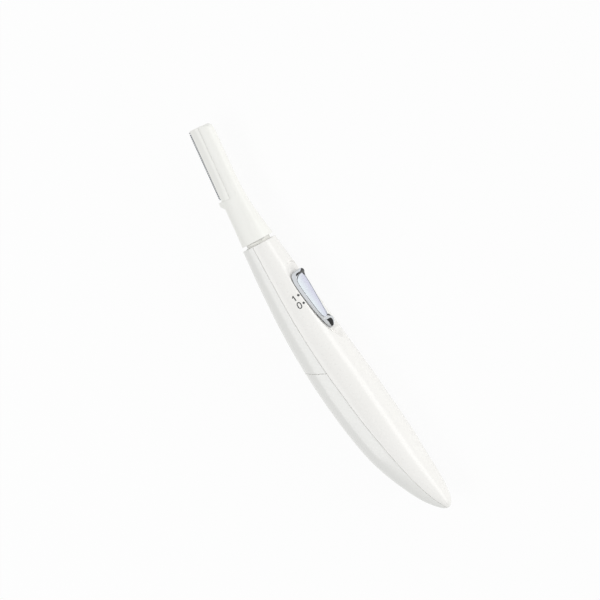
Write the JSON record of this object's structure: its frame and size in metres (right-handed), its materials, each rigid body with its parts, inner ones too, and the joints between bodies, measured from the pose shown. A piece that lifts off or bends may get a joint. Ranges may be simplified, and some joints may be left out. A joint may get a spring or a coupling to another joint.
{
  "type": "electric facial shaver",
  "caption": "Slim battery facial razor with a bowed pearl housing, slide switch, pull-off rocking head with a side comb blade, and a slide-off battery cover.",
  "frame": {"origin": "bottom centre of the bounding box, with the shaver lying on its side", "axes": "+X toward the cutting head along the housing, -Y toward the switch, +Y toward the blade edge and the battery cover, +Z out of the side that carries the switch marks"},
  "size_m": [0.151, 0.0208, 0.016],
  "materials": {
    "pearl_plastic": "glossy pearl white",
    "shade_plastic": "glossy white, a little duller than the front",
    "ivory_plastic": "satin warm white",
    "chrome_plate": "bright plated plastic",
    "inlay_plastic": "clear-coated silver blue",
    "grey_plastic": "moulded, matt",
    "acetal": "slippery moulded plastic",
    "steel": "ground",
    "blade_steel": "dark ground blade steel",
    "nickel_plate": "nickel plated",
    "brass_strip": "rolled strip",
    "copper_winding": "enamelled copper windings",
    "magnet": "bonded ferrite",
    "cell_label": "shrunk label film"
  },
  "bodies": {
    "housing": {"front_housing": "pearl_plastic", "rear_cover": "shade_plastic", "chassis": "grey_plastic", "chassis_screw_near": "steel", "chassis_screw_far": "steel", "motor_can": "nickel_plate", "motor_end_cap": "grey_plastic", "motor_magnet_front": "magnet", "motor_magnet_back": "magnet", "motor_terminal_front": "brass_strip", "motor_terminal_back": "brass_strip", "battery_cell": "nickel_plate", "battery_cell_sleeve": "cell_label", "positive_contact": "nickel_plate", "negative_contact": "nickel_plate", "negative_spring": "nickel_plate", "switch_contact": "brass_strip", "lever_pin": "steel", "swivel_pin_near": "steel", "swivel_pin_far": "steel"},
    "battery_door": {"battery_cover": "shade_plastic"},
    "switch": {"switch_knob": "chrome_plate", "switch_inlay": "inlay_plastic", "switch_carriage": "grey_plastic", "switch_bridge": "brass_strip"},
    "rotor": {"motor_shaft": "steel", "motor_armature": "copper_winding", "eccentric_cam": "acetal"},
    "lever": {"drive_lever": "acetal"},
    "swivel": {"swivel_base": "ivory_plastic"},
    "head": {"head_frame": "pearl_plastic", "blade_cover": "ivory_plastic", "fixed_blade": "blade_steel", "crank_pin": "steel"},
    "crank": {"bell_crank": "acetal"},
    "cutter": {"moving_blade": "blade_steel", "blade_slider": "acetal"}
  },
  "joints": [
    {"name": "switch_slide", "type": "slide", "parent": "housing", "child": "switch", "axis": [1, 0, 0], "range_m": [0, 0.0029]},
    {"name": "battery_cover_slide", "type": "slide", "parent": "housing", "child": "battery_door", "axis": [-1, 0, 0], "range_m": [0, 0.068]},
    {"name": "motor_spin", "type": "hinge", "parent": "housing", "child": "rotor", "pos_m": [0.02933, -0.00061, 0.00798], "axis": [0.9936, -0.1132, 0], "continuous": true},
    {"name": "lever_rock", "type": "hinge", "parent": "housing", "child": "lever", "pos_m": [0.02475, -0.00009, 0.00798], "axis": [0, 0, 1], "range_deg": [-4, 4]},
    {"name": "head_pivot", "type": "hinge", "parent": "housing", "child": "swivel", "pos_m": [0.02933, -0.00061, 0.00798], "axis": [0, 0, 1], "range_deg": [-8, 8], "stiffness_Nm_per_rad": 0.01},
    {"name": "head_pull", "type": "slide", "parent": "swivel", "child": "head", "axis": [0.9836, -0.1805, 0], "range_m": [0, 0.012]},
    {"name": "crank_rock", "type": "hinge", "parent": "head", "child": "crank", "pos_m": [0.03818, -0.00224, 0.00798], "axis": [0, 0, 1], "range_deg": [-2.1, 2.1]},
    {"name": "blade_stroke", "type": "slide", "parent": "head", "child": "cutter", "axis": [0.9836, -0.1805, 0], "range_m": [-0.000146, 0.000146]}
  ],
  "couplings": [
    {"joint": "lever_rock", "follows": "blade_stroke", "rad_per_m": 477.2},
    {"joint": "crank_rock", "follows": "blade_stroke", "rad_per_m": -243.9}
  ]
}
